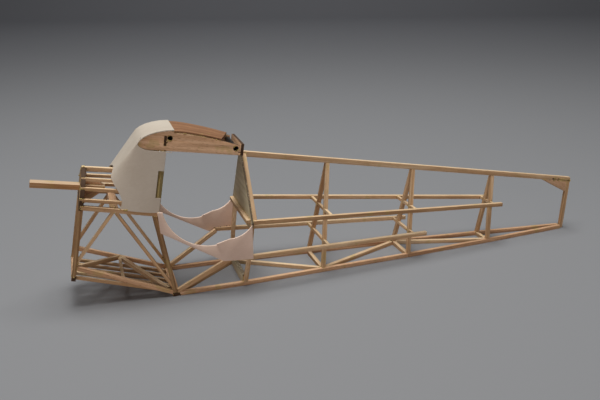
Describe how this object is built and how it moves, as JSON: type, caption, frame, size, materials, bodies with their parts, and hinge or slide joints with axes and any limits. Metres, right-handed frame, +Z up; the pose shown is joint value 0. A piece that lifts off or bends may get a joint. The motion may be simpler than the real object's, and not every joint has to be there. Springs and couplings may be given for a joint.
{
  "type": "model aeroplane fuselage frame",
  "caption": "Uncovered balsa stick fuselage frame of a high-wing cabin model aeroplane, with a motor stick, card windscreen, wing-root ribs and a triangular tail truss.",
  "frame": {"origin": "half way along the frame and midway between its sides, on the surface it rests on", "axes": "+X along the fuselage towards the tail, +Y to the right-hand side, +Z up; the left side is -Y"},
  "size_m": [0.4731, 0.0724, 0.13],
  "materials": {
    "balsa_light": "raw balsa strip, fine straight grain",
    "balsa_brown": "raw balsa, denser orange-brown grain",
    "balsa_laser_cut": "raw balsa sheet with charred cut edges",
    "balsa_sheet": "raw balsa sheet, pale olive tan",
    "balsa_olive": "raw balsa strip, greenish brown",
    "basswood": "sanded raw strip, square ends",
    "card_tan": "thin matt board",
    "black_tube": "thin black tube, satin",
    "card_cream": "thin matt card, cream"
  },
  "bodies": {
    "root": {"bottom_longeron_left": "balsa_brown", "bottom_longeron_right": "balsa_brown", "top_longeron": "balsa_light", "upper_stringer_left": "balsa_light", "upper_stringer_right": "balsa_light", "lower_stringer_left": "balsa_light", "lower_stringer_right": "balsa_light", "frame_1_legs": "balsa_light", "frame_2_legs": "balsa_light", "frame_3_legs": "balsa_light", "frame_1_ties": "balsa_light", "frame_2_ties": "balsa_light", "frame_3_ties": "balsa_light", "floor_diagonals": "balsa_light", "tail_post": "balsa_light", "tail_gusset": "balsa_brown", "cabin_bulkhead": "balsa_sheet", "cabin_roof_leg_left": "balsa_light", "cabin_roof_leg_right": "balsa_light", "cabin_wall_leg_left": "balsa_light", "cabin_wall_leg_right": "balsa_light", "cabin_rear_tie": "balsa_light", "cabin_floor_web": "balsa_sheet", "cabin_brace_left": "balsa_light", "cabin_brace_right": "balsa_light", "cabin_side_left": "card_tan", "cabin_side_right": "card_tan", "window_post_left": "balsa_olive", "window_post_right": "balsa_olive", "windscreen": "card_cream", "gear_post_left": "balsa_laser_cut", "gear_post_right": "balsa_laser_cut", "gear_tie": "balsa_brown", "panel_former": "balsa_laser_cut", "shoulder_longeron_left": "balsa_light", "shoulder_longeron_right": "balsa_light", "shoulder_tie": "balsa_brown", "deck_spine": "balsa_light", "deck_stringers_left": "balsa_light", "deck_stringers_right": "balsa_light", "nose_former": "balsa_laser_cut", "nose_post_left": "balsa_laser_cut", "nose_post_right": "balsa_laser_cut", "nose_floor_tie": "balsa_brown", "nose_longeron_left": "balsa_brown", "nose_longeron_right": "balsa_brown", "nose_truss_left": "balsa_light", "nose_truss_right": "balsa_light", "belly_stringers": "balsa_light", "belly_tie": "balsa_light", "belly_diagonals": "balsa_light", "motor_stick": "basswood", "motor_gussets": "balsa_brown", "wing_rib_left": "balsa_brown", "wing_rib_right": "balsa_brown", "roof_sheet": "balsa_brown", "front_spar_web": "balsa_brown", "rear_spar_web": "balsa_brown", "dowel_tubes": "black_tube"}
  },
  "joints": []
}
